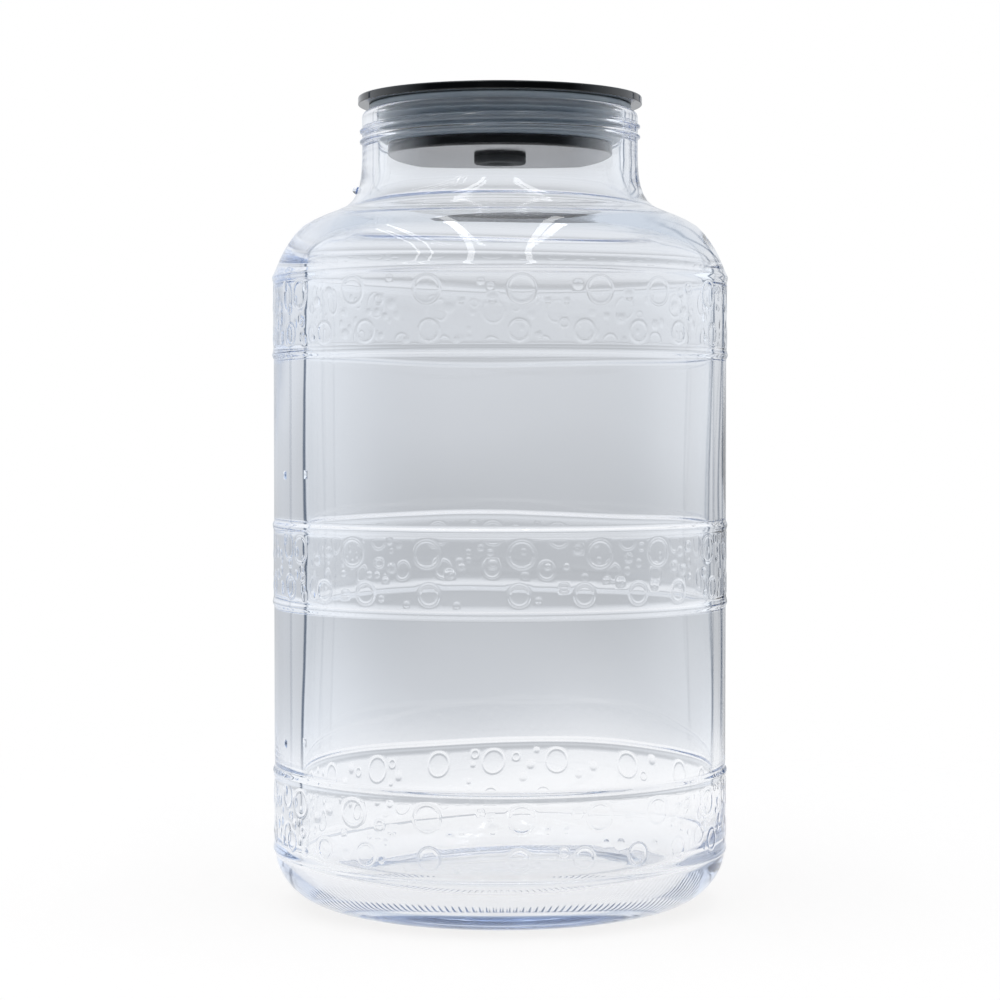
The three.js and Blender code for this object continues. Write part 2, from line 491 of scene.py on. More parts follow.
def model_tile(name, cells, profile):
    """A square tile, so many cells wide, with a round relief whose section is the profile."""
    bpy.ops.object.select_all(action="DESELECT")
    bpy.ops.mesh.primitive_grid_add(x_subdivisions=cells, y_subdivisions=cells, size=cells * CELL * MM)
    tile = start_object(name)
    select_vertices(tile, lambda vertex: not vertex.is_boundary)
    bpy.ops.mesh.delete(type="VERT")
    bpy.ops.mesh.select_all(action="SELECT")
    bpy.ops.mesh.delete(type="ONLY_FACE")
    bpy.ops.mesh.select_all(action="SELECT")
    for radius, height in profile:
        bpy.ops.mesh.extrude_region_move()
        mesh = bmesh.from_edit_mesh(tile.data)
        for vertex in mesh.verts:
            if vertex.select:
                outwards = Vector((vertex.co.x, vertex.co.y, 0)).normalized()
                vertex.co = outwards * radius * MM + Vector((0, 0, height * MM))
    bpy.ops.mesh.edge_face_add()
    bpy.ops.mesh.poke()
    bpy.ops.object.mode_set(mode="OBJECT")
    return tile


# %% Model the tiles
BIG_RING_CELLS = 7
SMALL_RING_CELLS = 6
BUBBLE_CELLS = 3
BEAD_CELLS = 2
tiles = {
    "big_ring": model_tile("big_ring", BIG_RING_CELLS, [
        (5.95, 0), (5.6, 0.01), (5.25, 0.07), (4.9, 0.11), (4.55, 0.07), (4.2, 0.01), (3.8, 0),
    ]),
    "small_ring": model_tile("small_ring", SMALL_RING_CELLS, [
        (4.95, 0), (4.5, 0.01), (4.15, 0.08), (3.8, 0.13), (3.45, 0.08), (3.1, 0.01), (2.7, 0),
    ]),
    "ringlet": model_tile("ringlet", BUBBLE_CELLS, [
        (2.45, 0), (2.15, 0.02), (1.85, 0.09), (1.5, 0.09), (1.2, 0.02), (0.9, 0),
    ]),
    "bubble": model_tile("bubble", BUBBLE_CELLS, [
        (2.3, 0), (2.0, 0.02), (1.5, 0.09), (0.8, 0.13),
    ]),
    "bead": model_tile("bead", BEAD_CELLS, [
        (1.5, 0), (1.3, 0.02), (0.95, 0.07), (0.5, 0.1),
    ]),
}
for name, tile in tiles.items():
    print(name, "has", triangles(tile), "triangles")

# %% [markdown]
# The rings are spaced unevenly round the band, as in real fizz, but by fixed steps, so that they never
# touch. The little bubbles are then dropped at random into whatever squares are still free. The seed is
# fixed, so the pattern is the same every time.

# %% Lay out the pattern
# From each ring to the next, in cells. The sheet's middle column comes to the front once it is rolled up.
BIG_RING_STEPS = [20, 17, 15, 19] * 4 + [18, 18]
SMALL_RING_STEPS = [12, 15, 19, 14, 13] * 4 + [14, 14]
BIG_RING_START = COLUMNS // 2 - 19
SMALL_RING_START = COLUMNS // 2 - 45

free = {(column, row) for column in range(COLUMNS) for row in range(PATTERN_ROWS)}
layout = []


def place_tile(kind, column, row, cells):
    """Put a tile with its lower left corner at a cell and take up its cells, if they are all free."""
    taken = {(column + across, row + up) for across in range(cells) for up in range(cells)}
    if taken <= free:
        free.difference_update(taken)
        layout.append((kind, column, row, cells))


def place_row(kind, cells, row, start, steps):
    """Put a tile of one kind at each step along a row, as far as they fit."""
    column = start
    for step in steps:
        place_tile(kind, min(column % COLUMNS, COLUMNS - cells), row, cells)
        column += step


place_row("big_ring", BIG_RING_CELLS, PATTERN_ROWS - BIG_RING_CELLS, BIG_RING_START, BIG_RING_STEPS)
place_row("small_ring", SMALL_RING_CELLS, 0, SMALL_RING_START, SMALL_RING_STEPS)
dice = random.Random(7)
for kind, cells, tries in (
    ("bubble", BUBBLE_CELLS, 130),
    ("ringlet", BUBBLE_CELLS, 60),
    ("bead", BEAD_CELLS, 110),
):
    for _ in range(tries):
        place_tile(kind, dice.randrange(COLUMNS - cells + 1), dice.randrange(PATTERN_ROWS - cells + 1), cells)
print("tiles on the band:", {kind: sum(spot[0] == kind for spot in layout) for kind in tiles})

# %% Cut the sheet
def flat_sheet():
    """The sheet of square cells, lying flat, with holes where tiles go."""
    bpy.ops.object.select_all(action="DESELECT")
    bpy.ops.mesh.primitive_grid_add(x_subdivisions=COLUMNS, y_subdivisions=PATTERN_ROWS, size=MM)
    sheet = start_object("band_sheet")
    bpy.ops.mesh.select_all(action="SELECT")
    bpy.ops.transform.resize(value=(COLUMNS * CELL, PATTERN_HEIGHT, 1), center_override=(0, 0, 0))
    bpy.ops.mesh.select_mode(type="FACE")
    bpy.ops.mesh.select_all(action="DESELECT")
    mesh = bmesh.from_edit_mesh(sheet.data)
    for face in mesh.faces:
        place = face.calc_center_median() / (CELL * MM)
        cell = (math.floor(place.x + COLUMNS / 2), math.floor(place.y + PATTERN_ROWS / 2))
        face.select = cell not in free
    bpy.ops.mesh.delete(type="FACE")
    bpy.ops.object.mode_set(mode="OBJECT")
    return sheet


def tile_copy(kind, column, row, cells):
    """A copy of a tile, with its own mesh, at its place on the flat sheet."""
    copy = tiles[kind].copy()
    copy.data = tiles[kind].data.copy()
    copy.location.x = (column + cells / 2 - COLUMNS / 2) * CELL * MM
    copy.location.y = (row + cells / 2 - PATTERN_ROWS / 2) * CELL * MM
    bpy.context.scene.collection.objects.link(copy)
    return copy


# %% Drop in the tiles and roll the sheet up
band = join([flat_sheet(), *(tile_copy(*spot) for spot in layout)], "band_sheet")
for tile in tiles.values():
    bpy.data.objects.remove(tile)

bpy.ops.object.select_all(action="DESELECT")
band.select_set(True)
bpy.context.view_layer.objects.active = band
band.rotation_euler.x = math.radians(90)
bpy.ops.object.transform_apply(rotation=True)
bend = band.modifiers.new("roll", "SIMPLE_DEFORM")
bend.deform_method = "BEND"
bend.deform_axis = "Z"
bend.angle = 2 * math.pi
bpy.ops.object.modifier_apply(modifier="roll")
band.location.y = -BAND_RADIUS * MM
bpy.ops.object.transform_apply(location=True)
radii = [math.hypot(vertex.co.x, vertex.co.y) / MM for vertex in band.data.vertices]
print("band radius, mm:", round(min(radii), 3), "to", round(max(radii), 3), "triangles:", triangles(band))

# %% [markdown]
# ## The rest of the outside
#
# The outside is drawn in four chains, from the middle of the base up to the lip, with gaps where the
# patterned sheets go. They are all spun together with as many steps as the sheet has columns, so the edges
# line up with it.

# %% Draw the bands' edges and the panels
FILL_BEAD_HEIGHTS = (65.1, 166.9)
FILL_BEAD_ROWS = (-3.4, -1.7, 0, 1.7, 3.4)
EDGE_HOLD = 1.5


def lower_edge(bottom):
    """The rounded bead along a band's lower edge, from the panel up to the patterned sheet."""
    return smooth_through([
        (PANEL_RADIUS, bottom - 0.5),
        (BEAD_RADIUS - 0.2, bottom + 0.3),
        (BEAD_RADIUS, bottom + 1.2),
        (BAND_RADIUS, bottom + BAND_MARGIN),
    ], 2)


def upper_edge(top):
    """The same bead along a band's upper edge, from the patterned sheet up to the panel."""
    return [(radius, 2 * top - height) for radius, height in reversed(lower_edge(top))]


def panel(level):
    """The plain wall between two bands, with close rows at the height of its fill bead.

    A row close to each band holds the wall flat. Without it, smooth shading would bend the whole panel.
    """
    heights = [FILL_BEAD_HEIGHTS[level] + row for row in FILL_BEAD_ROWS]
    held = [BAND_TOPS[level] + EDGE_HOLD, *heights, BAND_BOTTOMS[level + 1] - EDGE_HOLD]
    return [(PANEL_RADIUS, height) for height in held]


# %% Draw the heel, the shoulder and the neck
LIP_ROUND = 2.4
INNER_ROUND = 1.2
THREAD_START = 293.4
THREAD_END = 304.4
THREAD_ROWS = 22


def heel():
    """The base from its middle out to the standing ring, then round the heel to the first band."""
    push_up = smooth_through([(0, PUSH_UP), (44, PUSH_UP), (51, PUSH_UP - 0.7), (55, 0.6), (58, 0)], 2)
    width = PANEL_RADIUS - STANDING_RADIUS
    rise = BAND_BOTTOMS[0] + 1.5
    return [*push_up, *arc(STANDING_RADIUS, rise, width, rise, 270, 351, 14)]


def shoulder():
    """The dome over the top band, which turns over into the foot of the neck."""
    return smooth_through([
        (PANEL_RADIUS - 0.35, SHOULDER_START + 1.2),
        (84.9, SHOULDER_START + 7.6),
        (81.8, SHOULDER_START + 12.9),
        (76.8, SHOULDER_START + 18.7),
        (68.9, SHOULDER_START + 22.9),
        (60.0, SHOULDER_START + 26.6),
        (55.9, SHOULDER_START + 31.6),
        (54.1, SHOULDER_START + 38.2),
        (NECK_RADIUS, SHOULDER_START + 46.0),
    ], 2)


def neck_and_lip():
    """The threaded neck, with close rows for the thread to be raised from, and the rounded lip."""
    gap = (THREAD_END - THREAD_START) / THREAD_ROWS
    thread = [(NECK_RADIUS, THREAD_START + row * gap) for row in range(THREAD_ROWS + 1)]
    outer_round = arc(NECK_RADIUS - LIP_ROUND, LIP_TOP - LIP_ROUND, LIP_ROUND, LIP_ROUND, 0, 90, 5)
    inner_round = arc(MOUTH_RADIUS + INNER_ROUND, LIP_TOP - INNER_ROUND, INNER_ROUND, INNER_ROUND, 90, 180, 3)
    return [*thread, *outer_round, *inner_round, (MOUTH_RADIUS, LIP_TOP - 3)]


# %% Spin the outside
chains = [
    [*heel(), *lower_edge(BAND_BOTTOMS[0])],
    [*upper_edge(BAND_TOPS[0]), *panel(0), *lower_edge(BAND_BOTTOMS[1])],
    [*upper_edge(BAND_TOPS[1]), *panel(1), *lower_edge(BAND_BOTTOMS[2])],
    [*upper_edge(BAND_TOPS[2]), *shoulder(), *neck_and_lip()],
]
outline = join([draw_chain("outside", chain) for chain in chains], "outside")
outside = spin_round(outline, COLUMNS)
print("outside without its bands:", triangles(outside), "triangles")

# %% [markdown]
# ## The screw thread
#
# The neck also takes a screw cap, so it carries about one and a half turns of rounded thread. A separate
# coil of glass would leave a seam inside the wall, where light would catch. Instead, each vertex of the
# neck is pushed out by how near it lies to the line of the thread, which climbs one pitch for each turn
# and fades in and out.

# %% Raise the thread
THREAD_PITCH = 4.0
THREAD_TURNS = 1.7
THREAD_MIDDLE = 298.7
THREAD_HEIGHT = 1.05
THREAD_HALF_WIDTH = 0.95
# Over how many turns the thread fades in and out, and the power that narrows its crest.
THREAD_FADE_TURNS = 0.08
THREAD_CREST = 1.5


def thread_lift(angle, height):
    """How far the thread raises the neck at an angle from the back, in turns, and at a height."""
    lift = 0
    for turn in (-1, 0, 1):
        along = angle + turn
        fade = min(1, max(0, (THREAD_TURNS / 2 - abs(along)) / THREAD_FADE_TURNS))
        away = abs(height - THREAD_MIDDLE - along * THREAD_PITCH) / THREAD_HALF_WIDTH
        if away < 1:
            lift = max(lift, THREAD_HEIGHT * fade * math.cos(away * math.pi / 2) ** THREAD_CREST)
    return lift


raised = 0
for vertex in outside.data.vertices:
    radius = math.hypot(vertex.co.x, vertex.co.y) / MM
    if radius > NECK_RADIUS - 1 and vertex.co.z / MM >= THREAD_START:
        angle = math.atan2(-vertex.co.x, vertex.co.y) / (2 * math.pi)
        lift = thread_lift(angle, vertex.co.z / MM)
        vertex.co.x *= 1 + lift / radius
        vertex.co.y *= 1 + lift / radius
        raised += lift > 0
print("vertices raised into the thread:", raised)

# %% [markdown]
# ## Small beads and the knurled base
#
# A drop of glass sits at the foot of the neck, and two small ones on the wall mark fill levels. Each is
# made as by hand: the faces there are selected and inset, then inset again with some depth until they dome
# up.
#
# Under the base, the ring that the jar stands on is knurled, so that the hot glass touches the belt in
# only a few places. Every other column of faces round it is inset upwards, all in one go. Seen through the
# thick heel, the knurls glitter.

# %% Raise the beads
FILL_BEAD_ANGLE = 202.5
FILL_BEAD_REACH = 1.6
FILL_BEAD_STEPS = [(0.2, 0), (0.3, 0.25), (0.35, 0.2), (0.4, 0.08)]
# The drop's distance from the axis, its angle and its height.
NECK_DROP_PLACE = (56.0, 180, 277.7)
NECK_DROP_REACH = 2.1
NECK_DROP_STEPS = [(0.2, 0), (0.15, 1.0), (0.3, 0.7), (0.4, 0.35)]


def select_faces(piece, wanted):
    """In edit mode, select just the faces whose centre, in millimetres, the test wants, and count them."""
    bpy.ops.mesh.select_mode(type="FACE")
    bpy.ops.mesh.select_all(action="DESELECT")
    mesh = bmesh.from_edit_mesh(piece.data)
    for face in mesh.faces:
        face.select = wanted(face.calc_center_median() / MM)
    return sum(face.select for face in mesh.faces)


def raise_bead(piece, centre, reach, steps):
    """Dome up the faces near a point of the wall, by (inset, depth) steps in millimetres."""
    count = select_faces(piece, lambda place: (place - centre).length < reach)
    for inset, depth in steps:
        bpy.ops.mesh.inset(thickness=inset * MM, depth=depth * MM)
    return count


def on_wall(radius, degrees, height):
    """A point on the wall, at an angle from the +X side towards the back."""
    angle = math.radians(degrees)
    return Vector((radius * math.cos(angle), radius * math.sin(angle), height))


bpy.ops.object.select_all(action="DESELECT")
bpy.context.view_layer.objects.active = outside
outside.select_set(True)
bpy.ops.object.mode_set(mode="EDIT")
for height in FILL_BEAD_HEIGHTS:
    place = on_wall(PANEL_RADIUS, FILL_BEAD_ANGLE, height)
    count = raise_bead(outside, place, FILL_BEAD_REACH, FILL_BEAD_STEPS)
    print("faces in a fill bead:", count)
count = raise_bead(outside, on_wall(*NECK_DROP_PLACE), NECK_DROP_REACH, NECK_DROP_STEPS)
print("faces in the neck's drop:", count)

# %% Cut the knurls
KNURL_EVERY = 2
KNURL_INNER = 56
KNURL_OUTER = 66
KNURL_INSET = 0.25
KNURL_DEPTH = 0.3


def in_a_knurl(place):
    """Whether a face lies on the standing ring, in a column that becomes a knurl."""
    angle = math.degrees(math.atan2(place.y, place.x))
    on_ring = place.z < 1 and KNURL_INNER < math.hypot(place.x, place.y) < KNURL_OUTER
    return on_ring and math.floor(angle * COLUMNS / 360) % KNURL_EVERY == 0


print("faces in the knurls:", select_faces(outside, in_a_knurl))
bpy.ops.mesh.inset(thickness=KNURL_INSET * MM, depth=-KNURL_DEPTH * MM)
bpy.ops.object.mode_set(mode="OBJECT")

# %% [markdown]
# ## The inside of the jar
#
# A blown jar is only moulded on its outside. Air shapes the inside, so it runs straight past the bands. It
# waves a little, and it sits slightly off the middle, which makes the glass thicker on one side. Those
# faults are worth making, because they are most of what the eye reads as thick glass. The inside needs
# half as many columns, as it has no fine relief.

# %% Draw and spin the inside
CAVITY_COLUMNS = COLUMNS // 2
CAVITY_ROWS = 18
CAVITY_HEEL = 16


def cavity():
    """The inside's section, from just under the lip down to the middle of the floor."""
    dome = smooth_through([
        (MOUTH_RADIUS, SHOULDER_START + 43),
        (50.6, SHOULDER_START + 31),
        (55.4, SHOULDER_START + 24),
        (63.2, SHOULDER_START + 18.6),
        (70.6, SHOULDER_START + 14.4),
        (76.0, SHOULDER_START + 8.6),
        (78.8, SHOULDER_START + 2),
        (CAVITY_RADIUS, SHOULDER_START - 6),
    ], 2)
    wall_top = SHOULDER_START - 6
    wall_bottom = CAVITY_FLOOR + CAVITY_HEEL
    drop = (wall_top - wall_bottom) / CAVITY_ROWS
    wall = [(CAVITY_RADIUS, wall_top - row * drop) for row in range(1, CAVITY_ROWS)]
    corner = arc(CAVITY_RADIUS - CAVITY_HEEL, wall_bottom, CAVITY_HEEL, CAVITY_HEEL, 0, -90, 9)
    floor = [(44, CAVITY_FLOOR + 0.4), (22, CAVITY_FLOOR + 0.9), (0, CAVITY_FLOOR + 1.1)]
    return [(MOUTH_RADIUS, LIP_TOP - 4.5), *dome, *wall, *corner, *floor]


inside = spin_round(draw_chain("inside", cavity()), CAVITY_COLUMNS)
print("inside:", triangles(inside), "triangles")

# %% Make the inside uneven, as if blown
# How deep each wave is in millimetres, how many go round, and how fast they twist on the way up.
BLOWN_WAVES = ((0.25, 2, 38), (0.12, 5, -21))
OFF_MIDDLE = 2.5


def swell(low, high, value):
    """0 below low, 1 above high, and a smooth rise between them."""
    share = min(1, max(0, (value - low) / (high - low)))
    return share * share * (3 - 2 * share)


for vertex in inside.data.vertices:
    height = vertex.co.z / MM
    angle = math.atan2(vertex.co.y, vertex.co.x)
    blown = swell(8, 40, height) * (1 - swell(SHOULDER_START - 10, SHOULDER_START + 34, height))
    wave = sum(depth * math.sin(count * angle + height / twist) for depth, count, twist in BLOWN_WAVES)
    radius = math.hypot(vertex.co.x, vertex.co.y) / MM
    share = 1 + blown * wave / max(radius, 1)
    vertex.co.x = vertex.co.x * share + OFF_MIDDLE * blown * MM
    vertex.co.y *= share
sides = [vertex.co.x / MM for vertex in inside.data.vertices]
print("inside reaches, mm, to the left and right:", round(min(sides), 2), round(max(sides), 2))

# %% [markdown]
# ## Close the jar
#
# The patterned sheet is copied once for each band. Then everything is joined, welded, and closed by
# bridging the lip to the inside. A closed jar has no open edge, and all its faces point out of the glass.

# %% Join the outside, the bands and the inside
def band_copy(bottom):
    """A copy of the patterned sheet, with its own mesh, at one band's height."""
    copy = band.copy()
    copy.data = band.data.copy()
    copy.location.z = (bottom + BAND_HEIGHT / 2) * MM
    bpy.context.scene.collection.objects.link(copy)
    return copy


jar = join([outside, inside, *(band_copy(bottom) for bottom in BAND_BOTTOMS)], "jar_glass")
bpy.data.objects.remove(band)
bpy.ops.object.mode_set(mode="EDIT")
bpy.ops.mesh.select_all(action="DESELECT")
bpy.ops.mesh.select_mode(type="EDGE")
bpy.ops.mesh.select_non_manifold()
bpy.ops.mesh.bridge_edge_loops()
bpy.ops.mesh.select_all(action="SELECT")
bpy.ops.mesh.normals_make_consistent(inside=False)
bpy.ops.object.mode_set(mode="OBJECT")
bpy.ops.object.shade_smooth()
print("jar:", triangles(jar), "triangles,", open_edges(jar), "open edges")

# %% [markdown]
# ## The lid
#
# The lid is one moulding of glossy black plastic: a flange that overhangs the lip, a plug that goes down
# into the neck, and a dished floor with a hole in the middle. Seen from a little below, its flat underside
# is at such a low angle that it mirrors the bright inside of the jar and looks grey. Its edges are rounded
# by arcs in the section, because a moulding has no sharp edge, and a rounded one catches a line of light.

# %% Model the lid
lid_low, lid_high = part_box("lid")
FLANGE_RADIUS = lid_high.x / MM
LID_TOP = lid_high.z / MM
FLOOR_UNDERSIDE = lid_low.z / MM
SEAL_FLANGE = 2.5
FLANGE_UNDERSIDE = LIP_TOP + SEAL_FLANGE
LID_WALL = 2.8
FLOOR_TOP = FLOOR_UNDERSIDE + LID_WALL
PLUG_RADIUS = 43.9
PLUG_WAIST = 41.5
PLUG_LIP = 4.2
WELL_RADIUS = PLUG_WAIST - LID_WALL
HOLE_RADIUS = 7
PLUG_ROUND = 0.8
PLUG_LIP_ROUND = 0.4
FLANGE_LOWER_ROUND = 0.3
FLANGE_UPPER_ROUND = 0.6
WELL_MOUTH_ROUND = 1.0
WELL_FOOT_ROUND = 2.0
ROUND_STEPS = 192


def lid_section():
    """The lid's section, from the edge of its hole, round the outside, and back over the well's floor."""
    plug_lip_top = FLOOR_UNDERSIDE + PLUG_LIP
    lower, upper = FLANGE_LOWER_ROUND, FLANGE_UPPER_ROUND
    return [
        (HOLE_RADIUS, FLOOR_UNDERSIDE),
        *held_arc(PLUG_RADIUS - PLUG_ROUND, FLOOR_UNDERSIDE + PLUG_ROUND, PLUG_ROUND, 270, 360, 4),
        *held_arc(PLUG_RADIUS - PLUG_LIP_ROUND, plug_lip_top - PLUG_LIP_ROUND, PLUG_LIP_ROUND, 0, 90, 2),
        (PLUG_WAIST, plug_lip_top),
        (PLUG_WAIST, FLANGE_UNDERSIDE),
        *held_arc(FLANGE_RADIUS - lower, FLANGE_UNDERSIDE + lower, lower, 270, 360, 3),
        *held_arc(FLANGE_RADIUS - upper, LID_TOP - upper, upper, 0, 90, 4),
        *held_arc(WELL_RADIUS + WELL_MOUTH_ROUND, LID_TOP - WELL_MOUTH_ROUND, WELL_MOUTH_ROUND, 90, 180, 4),
        *held_arc(WELL_RADIUS - WELL_FOOT_ROUND, FLOOR_TOP + WELL_FOOT_ROUND, WELL_FOOT_ROUND, 0, -90, 5),
        (HOLE_RADIUS, FLOOR_TOP),
        (HOLE_RADIUS, FLOOR_UNDERSIDE),
    ]


def shade_rounded(piece, degrees=35):
    """Smooth a piece, but keep the edges that turn by more than an angle."""
    bpy.ops.object.select_all(action="DESELECT")
    piece.select_set(True)
    bpy.context.view_layer.objects.active = piece
    bpy.ops.object.shade_smooth_by_angle(angle=math.radians(degrees))


lid = spin_round(draw_chain("lid_moulding", lid_section()), ROUND_STEPS)
shade_rounded(lid)
print("lid:", triangles(lid), "triangles,", open_edges(lid), "open edges")

# %% [markdown]
# ## The seal
#
# A ring of soft silicone grips the glass. It has a sleeve round the plug, three fins that wipe the inside
# of the neck, and a flange between the lid and the lip. Each fin is thick at its root, and its underside
# slopes up to a thin, rounded tip.

# %% Model the seal
SLEEVE_RADIUS = 44.3
SEAL_FLANGE_RADIUS = 51
SEAL_ROUND = 0.7
FIT_GAP = 0.3
FIN_TIP = MOUTH_RADIUS - FIT_GAP
FIN_ROUND = 0.4
FINS = 3
FIN_SPACING = 3.6


def fin(height):
    """One wiping fin: a thick root, and a tip that is rounded over."""
    tip = arc(FIN_TIP - FIN_ROUND, height + 0.5, FIN_ROUND, FIN_ROUND, -70, 90, 4)
    return [
        (SLEEVE_RADIUS, height - 1.1),
        *tip,
        (SLEEVE_RADIUS + 0.4, height + 0.9),
        (SLEEVE_RADIUS, height + 1.2),
    ]


def seal_section():
    """The seal's section, from the foot of its sleeve, up past the fins, and round the flange."""
    foot = FLOOR_UNDERSIDE + PLUG_LIP + FIT_GAP
    inner = PLUG_WAIST + FIT_GAP
    fins = [point for index in range(FINS) for point in fin(foot + 2 + index * FIN_SPACING)]
    return [
        (inner, foot),
        (SLEEVE_RADIUS - 0.4, foot),
        (SLEEVE_RADIUS, foot + 0.4),
        *fins,
        (SLEEVE_RADIUS, LIP_TOP - 0.4),
        (SLEEVE_RADIUS + 0.4, LIP_TOP),
        *held_arc(SEAL_FLANGE_RADIUS - SEAL_ROUND, LIP_TOP + SEAL_ROUND, SEAL_ROUND, 270, 360, 3),
        *held_arc(SEAL_FLANGE_RADIUS - SEAL_ROUND, FLANGE_UNDERSIDE - SEAL_ROUND, SEAL_ROUND, 0, 90, 3),
        (inner, FLANGE_UNDERSIDE),
        (inner, foot),
    ]


seal = spin_round(draw_chain("seal_ring", seal_section()), ROUND_STEPS)
shade_rounded(seal, 50)
print("seal:", triangles(seal), "triangles,", open_edges(seal), "open edges")

# %% [markdown]
# ## The grommet
#
# The rubber grommet is pressed into the lid's hole and takes the stem of an airlock. It has a flange on
# each side of the floor. Its mouth is bevelled, to lead the stem in.

# %% Model the grommet
grommet_low, grommet_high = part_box("airlock_grommet")
GROMMET_RADIUS = grommet_high.x / MM
GROMMET_BOTTOM = grommet_low.z / MM
GROMMET_TOP = grommet_high.z / MM
BORE_RADIUS = 4.75
BORE_BEVEL = 0.8
GROMMET_ROUND = 0.8
GROMMET_STEPS = 96


def grommet_section():
    """The grommet's section, from its bore's lower mouth, round the outside, and back down the bore."""
    edge = GROMMET_RADIUS - GROMMET_ROUND
    return [
        (BORE_RADIUS, GROMMET_BOTTOM + BORE_BEVEL),
        (BORE_RADIUS + BORE_BEVEL, GROMMET_BOTTOM),
        *held_arc(edge, GROMMET_BOTTOM + GROMMET_ROUND, GROMMET_ROUND, 270, 360, 4),
        (GROMMET_RADIUS, FLOOR_UNDERSIDE),
        (HOLE_RADIUS - FIT_GAP, FLOOR_UNDERSIDE),
        (HOLE_RADIUS - FIT_GAP, FLOOR_TOP),
        (GROMMET_RADIUS, FLOOR_TOP),
        *held_arc(edge, GROMMET_TOP - GROMMET_ROUND, GROMMET_ROUND, 0, 90, 4),
        (BORE_RADIUS + BORE_BEVEL, GROMMET_TOP),
        (BORE_RADIUS, GROMMET_TOP - BORE_BEVEL),
        (BORE_RADIUS, GROMMET_BOTTOM + BORE_BEVEL),
    ]


grommet = spin_round(draw_chain("grommet_rubber", grommet_section()), GROMMET_STEPS)
shade_rounded(grommet)
print("grommet:", triangles(grommet), "triangles,", open_edges(grommet), "open edges")

# %% [markdown]
# ## Clear glass
#
# Soda-lime glass bends light by an index of 1.52. A trace of iron gives it a blue tint, which only shows
# where light goes a long way through it, as at the edges. So the tint isn't on the surface: it is a volume
# that takes a little red and green from each millimetre. The moulded skin is never quite flat either. It
# has soft waves a few centimetres long, from the mould and from the way that the glass cooled.

# %% Start a material
def new_material(name):
    """A material with a node tree that holds only its output."""
    material = bpy.data.materials.new(name)
    material.use_nodes = True
    material.node_tree.nodes.clear()
    output = material.node_tree.nodes.new("ShaderNodeOutputMaterial")
    return material, material.node_tree, output


def pattern(tree, size, detail):
    """Noise on the piece's own coordinates, with features about so many millimetres across."""
    place = add_node(tree, "ShaderNodeTexCoord")
    return add_node(tree, "ShaderNodeTexNoise", {
        "Vector": place.outputs["Object"],
        "Scale": 1 / (size * MM),
        "Detail": detail,
    })


# %% Make the glass
GLASS_IOR = 1.52
GLASS_TINT = "9fc4f2"
GLASS_TINT_DENSITY = 3.5
WAVE_SIZE = 26
WAVE_DEPTH = 0.03

glass, tree, output = new_material("clear_soda_lime_glass")
waves = pattern(tree, WAVE_SIZE, detail=1.5)
relief = add_node(tree, "ShaderNodeBump", {
    "Height": waves.outputs["Fac"],
    "Strength": 1.0,
    "Distance": WAVE_DEPTH * MM,
})
surface = add_node(tree, "ShaderNodeBsdfPrincipled", {
    "Base Color": (1, 1, 1, 1),
    "Roughness": 0.0,
    "IOR": GLASS_IOR,
    "Transmission Weight": 1.0,
    "Normal": relief.outputs["Normal"],
})
tint = add_node(tree, "ShaderNodeVolumeAbsorption", {
    "Color": linear(GLASS_TINT),
    "Density": GLASS_TINT_DENSITY,
})
tree.links.new(surface.outputs[0], output.inputs["Surface"])
tree.links.new(tint.outputs[0], output.inputs["Volume"])
jar.data.materials.append(glass)
print("glass nodes:", len(tree.nodes))

# %% [markdown]
# ## Moulded plastic, silicone and rubber
#
# The lid is glossy ABS, nearly black. Handling leaves a faint haze on it, so its roughness varies a little
# over a few millimetres. The silicone is milky: light goes in, spreads and comes out again, which is a
# rough transmission. The grommet is carbon-black rubber from an etched mould, matt and finely grained.

# %% Make the plastic and the rubber
CLOUD_GRAINS = 12


def opaque_finish(name, colours, haze, grain_size, grain_depth, ior):
    """A solid finish. haze is the least and the most roughness, and the grain is in millimetres.

    The colour and the haze vary in soft clouds, each so many grains across.
    """
    material, tree, output = new_material(name)
    clouds = pattern(tree, grain_size * CLOUD_GRAINS, detail=4.0)
    roughness = add_node(tree, "ShaderNodeMapRange", {
        "Value": clouds.outputs["Fac"],
        "From Min": 0.3,
        "From Max": 0.7,
        "To Min": haze[0],
        "To Max": haze[1],
    })
    grain = pattern(tree, grain_size, detail=3.0)
    relief = add_node(tree, "ShaderNodeBump", {
        "Height": grain.outputs["Fac"],
        "Strength": 1.0,
        "Distance": grain_depth * MM,
    })
    shade = add_node(tree, "ShaderNodeValToRGB", {"Fac": clouds.outputs["Fac"]})
    set_ramp(shade, [(0.35, linear(colours[0])), (0.65, linear(colours[1]))])
    surface = add_node(tree, "ShaderNodeBsdfPrincipled", {
        "Base Color": shade.outputs["Color"],
        "Roughness": roughness.outputs["Result"],
        "IOR": ior,
        "Normal": relief.outputs["Normal"],
    })
    tree.links.new(surface.outputs[0], output.inputs["Surface"])
    return material


black_plastic = opaque_finish(
    "black_gloss_abs",
    colours=("050506", "09090a"),
    haze=(0.06, 0.14),
    grain_size=1.2,
    grain_depth=0.002,
    ior=1.53,
)
rubber = opaque_finish(
    "black_moulded_rubber",
    colours=("050505", "0b0b0c"),
    haze=(0.65, 0.85),
    grain_size=0.35,
    grain_depth=0.03,
    ior=1.5,
)
print("solid finishes:", black_plastic.name, rubber.name)

# %% Make the silicone and put each finish on its piece
SILICONE_CLOUD = 9
SILICONE_RELIEF = 0.02

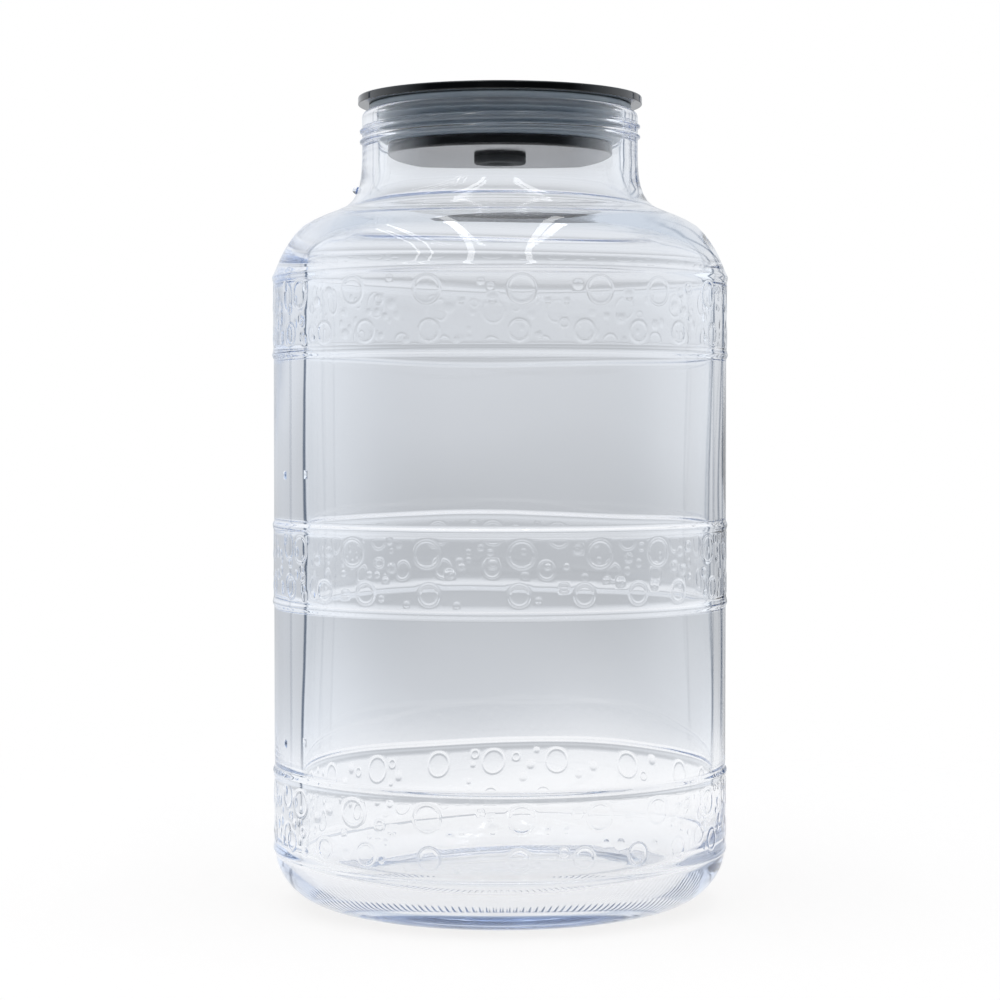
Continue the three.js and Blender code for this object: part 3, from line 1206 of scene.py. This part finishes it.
silicone, tree, output = new_material("milky_silicone")
cloud = pattern(tree, SILICONE_CLOUD, detail=3.0)
milk = add_node(tree, "ShaderNodeValToRGB", {"Fac": cloud.outputs["Fac"]})
set_ramp(milk, [(0.3, linear("c3d2e0")), (0.7, linear("d6e2ec"))])
relief = add_node(tree, "ShaderNodeBump", {
    "Height": cloud.outputs["Fac"],
    "Strength": 1.0,
    "Distance": SILICONE_RELIEF * MM,
})
surface = add_node(tree, "ShaderNodeBsdfPrincipled", {
    "Base Color": milk.outputs["Color"],
    "Roughness": 0.3,
    "IOR": 1.41,
    "Transmission Weight": 0.4,
    "Normal": relief.outputs["Normal"],
})
tree.links.new(surface.outputs[0], output.inputs["Surface"])

lid.data.materials.append(black_plastic)
grommet.data.materials.append(rubber)
seal.data.materials.append(silicone)
print("finishes:", sorted(material.name for material in bpy.data.materials))

# %% [markdown]
# ## The floor
#
# The jar stands on thin white paper over a light table. Most of the paper's brightness comes from the
# lamps under it, so the shadows stay faint and the thick base glows. The paper is a disc that fades away
# at its rim into the white world, so it has no edge.

# %% Lay the floor
# In metres. The small gap keeps the paper clear of the glass.
FLOOR_RADIUS = 0.75
FADE_START = 0.26
FADE_END = 0.7
FLOOR_GAP = 0.0003
LAMP_GLOW = 0.8

bpy.ops.object.select_all(action="DESELECT")
bpy.ops.mesh.primitive_circle_add(
    vertices=128, radius=FLOOR_RADIUS, fill_type="NGON", location=(0, 0, -FLOOR_GAP),
)
floor = bpy.context.object
floor.name = "paper_floor"
paper, tree, output = new_material("white_paper")
place = add_node(tree, "ShaderNodeTexCoord")
distance = add_node(tree, "ShaderNodeVectorMath", {0: place.outputs["Object"]}, operation="LENGTH")
fade = add_node(tree, "ShaderNodeMapRange", {
    "Value": distance.outputs["Value"],
    "From Min": FADE_START,
    "From Max": FADE_END,
}, interpolation_type="SMOOTHSTEP")
white = add_node(tree, "ShaderNodeBsdfDiffuse", {"Color": linear("989592"), "Roughness": 0.4})
glow = add_node(tree, "ShaderNodeEmission", {"Color": linear("fffefd"), "Strength": LAMP_GLOW})
lit = add_node(tree, "ShaderNodeAddShader", {0: white.outputs[0], 1: glow.outputs[0]})
clear = add_node(tree, "ShaderNodeBsdfTransparent")
mixed = add_node(tree, "ShaderNodeMixShader", {
    0: fade.outputs["Result"],
    1: lit.outputs[0],
    2: clear.outputs[0],
})
tree.links.new(mixed.outputs[0], output.inputs["Surface"])
floor.data.materials.append(paper)
print("floor radius, m:", FLOOR_RADIUS)

# %% [markdown]
# ## Hand the pieces to the frame
#
# Each piece stands for one CAD node and rides on that node's body. The lid, its seal and its grommet lift
# off together, so all three ride on the lid's body.

# %% Ride and replace
for piece, node, body, slot in (
    (jar, "carboy_body", "jar", "clear_glass"),
    (lid, "lid", "lid", "black_lid_plastic"),
    (seal, "lid_seal", "lid", "silicone_seal"),
    (grommet, "airlock_grommet", "lid", "black_rubber"),
):
    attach(piece, body)
    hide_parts(node)
    print(piece.name, "rides on", body, "and stands for", node)
